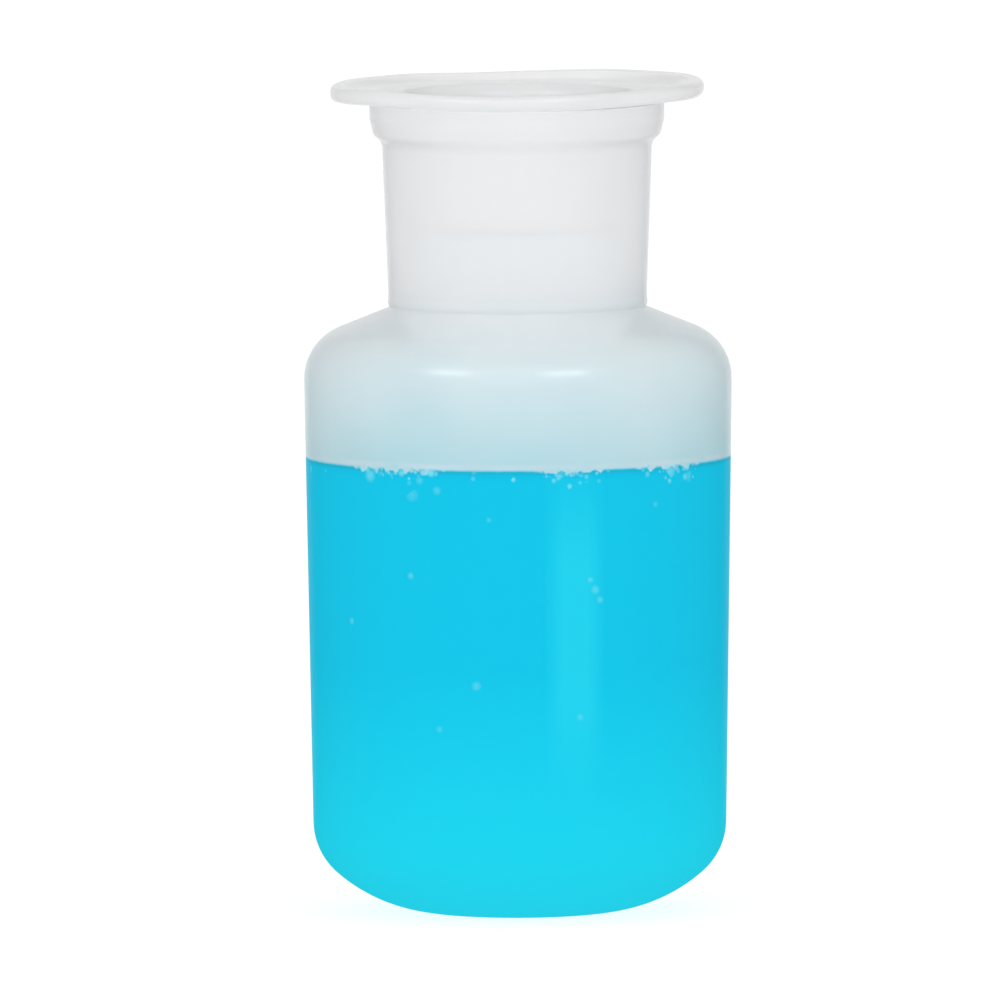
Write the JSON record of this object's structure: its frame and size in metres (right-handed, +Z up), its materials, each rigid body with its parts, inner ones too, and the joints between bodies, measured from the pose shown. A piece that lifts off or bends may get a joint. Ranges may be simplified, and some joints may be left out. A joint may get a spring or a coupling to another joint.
{
  "type": "round wide-mouth reagent bottle",
  "caption": "Round wide-mouth reagent bottle of translucent plastic, with a hollow flanged stopper in its tapered neck, part filled with blue liquid.",
  "frame": {"origin": "middle of the base, on the surface that the bottle stands on", "axes": "+Z up along the axis of the body, neck and stopper; +X to the right seen from the front, -Y towards the front"},
  "size_m": [0.067, 0.067, 0.1295],
  "materials": {
    "bottle_plastic": "satin, translucent white",
    "stopper_plastic": "satin, translucent white",
    "blue_liquid": "clear dyed liquid, gloss surface"
  },
  "bodies": {
    "bottle": {"bottle": "bottle_plastic", "liquid": "blue_liquid"},
    "stopper": {"stopper": "stopper_plastic"}
  },
  "joints": [
    {"name": "stopper_lift", "type": "slide", "parent": "bottle", "child": "stopper", "axis": [0, 0, 1], "range_m": [0, 0.045]}
  ]
}
